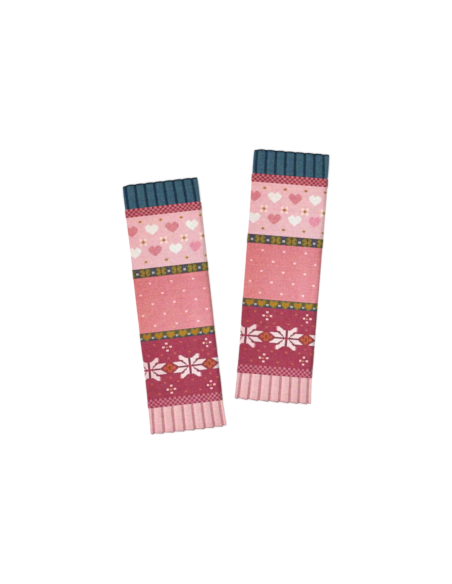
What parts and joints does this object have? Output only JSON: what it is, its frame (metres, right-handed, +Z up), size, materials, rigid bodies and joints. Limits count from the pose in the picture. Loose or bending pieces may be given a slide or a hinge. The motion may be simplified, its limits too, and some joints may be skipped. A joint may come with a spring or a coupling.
{
  "type": "pair of leg warmers",
  "caption": "Pair of knitted leg warmers laid flat side by side, each an open footless tube with ribbed cuffs and bands of colour-work motifs.",
  "frame": {"origin": "on the surface that the pair lies on, under the middle of the pair's box", "axes": "+Z up from the surface through the flat tubes, +Y towards the top cuffs, +X to the right in the picture"},
  "size_m": [0.3318, 0.4584, 0.0064],
  "materials": {
    "teal_rib": "soft matt rib knit in teal-blue yarn, with a faint fuzz",
    "jacquard_knit": "fine-gauge colour-work knit in pinks, slate, olive and cream, matt, with a faint fuzz",
    "pink_rib": "soft matt rib knit in pale pink yarn, with a faint fuzz"
  },
  "bodies": {
    "root": {"left_top_cuff": "teal_rib", "left_leg": "jacquard_knit", "left_bottom_cuff": "pink_rib", "right_top_cuff": "teal_rib", "right_leg": "jacquard_knit", "right_bottom_cuff": "pink_rib"}
  },
  "joints": []
}
